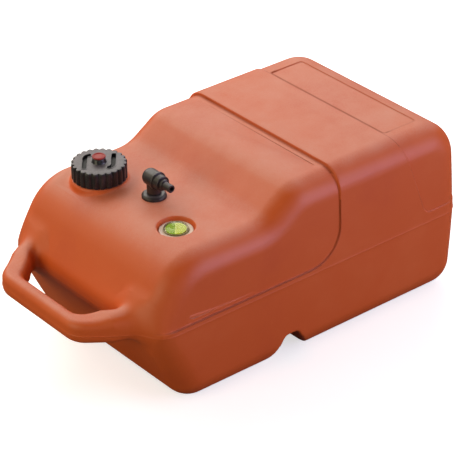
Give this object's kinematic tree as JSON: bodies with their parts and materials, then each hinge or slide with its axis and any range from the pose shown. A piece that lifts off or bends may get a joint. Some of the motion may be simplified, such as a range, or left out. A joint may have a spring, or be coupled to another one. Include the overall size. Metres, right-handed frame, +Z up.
{
  "type": "portable outboard fuel tank",
  "caption": "Low orange moulded fuel tank with a front carry handle, vented screw cap, swivelling hose outlet and round dial float gauge.",
  "frame": {"origin": "on the ground, under the middle of the tank and its handle", "axes": "+X from the handle to the rear, +Y towards the filler cap's side, +Z up"},
  "size_m": [0.5808, 0.3128, 0.2455],
  "materials": {
    "tank_orange": "satin, fine moulding grain",
    "black_plastic": "semi-gloss",
    "fitting_black": "semi-gloss",
    "vent_red": "satin",
    "seal_rubber": "matte",
    "spring_steel": "satin",
    "strip_steel": "satin",
    "rod_aluminium": "satin",
    "dip_tube": "satin",
    "strainer_white": "matte",
    "gauge_cream": "satin",
    "lens_clear": "clear, glossy",
    "lens_ring": "satin",
    "dial_green": "satin, green and yellow halves",
    "float_foam": "matte"
  },
  "bodies": {
    "tank": {"tank_shell": "tank_orange", "pickup_gasket": "seal_rubber", "pickup_bushing": "fitting_black", "gauge_gasket": "seal_rubber", "gauge_body": "gauge_cream", "gauge_lens": "lens_clear", "lens_seal": "lens_ring", "guide_rods": "rod_aluminium", "guide_foot": "gauge_cream"},
    "cap_seal": {"cap_gasket": "seal_rubber"},
    "cap": {"filler_cap": "black_plastic", "vent_baffle": "black_plastic"},
    "vent_seal": {"vent_o_ring": "seal_rubber"},
    "vent_knob": {"vent_screw": "vent_red"},
    "elbow": {"pickup_elbow": "fitting_black", "elbow_o_ring": "seal_rubber", "swivel_clip": "spring_steel", "union_nut": "fitting_black", "hose_spigot": "fitting_black", "spigot_o_ring": "seal_rubber", "pickup_tube": "dip_tube", "pickup_strainer": "strainer_white"},
    "float": {"gauge_float": "float_foam", "float_plate": "gauge_cream"},
    "dial": {"gauge_dial": "dial_green", "twist_strip": "strip_steel"}
  },
  "joints": [
    {"name": "cap_rise", "type": "slide", "parent": "tank", "child": "cap_seal", "axis": [0, 0, 1], "range_m": [0, 0.015]},
    {"name": "cap_turn", "type": "hinge", "parent": "cap_seal", "child": "cap", "pos_m": [-0.128, 0.08, 0.22], "axis": [0, 0, 1], "range_deg": [0, 900]},
    {"name": "vent_rise", "type": "slide", "parent": "cap", "child": "vent_seal", "axis": [0, 0, 1], "range_m": [0, 0.00263]},
    {"name": "vent_turn", "type": "hinge", "parent": "vent_seal", "child": "vent_knob", "pos_m": [-0.128, 0.08, 0.235], "axis": [0, 0, 1], "range_deg": [0, 540]},
    {"name": "elbow_swivel", "type": "hinge", "parent": "tank", "child": "elbow", "pos_m": [-0.1025, 0, 0.2], "axis": [0, 0, 1], "continuous": true},
    {"name": "float_lift", "type": "slide", "parent": "tank", "child": "float", "axis": [0, 0, 1], "range_m": [0, 0.1374]},
    {"name": "dial_turn", "type": "hinge", "parent": "tank", "child": "dial", "pos_m": [-0.127, -0.075, 0.204], "axis": [0, 0, 1], "range_deg": [-240, 0]}
  ],
  "couplings": [
    {"joint": "cap_rise", "follows": "cap_turn", "m_per_rad": 0.00095493},
    {"joint": "vent_rise", "follows": "vent_turn", "m_per_rad": 0.00027852},
    {"joint": "dial_turn", "follows": "float_lift", "rad_per_m": -30.486}
  ]
}
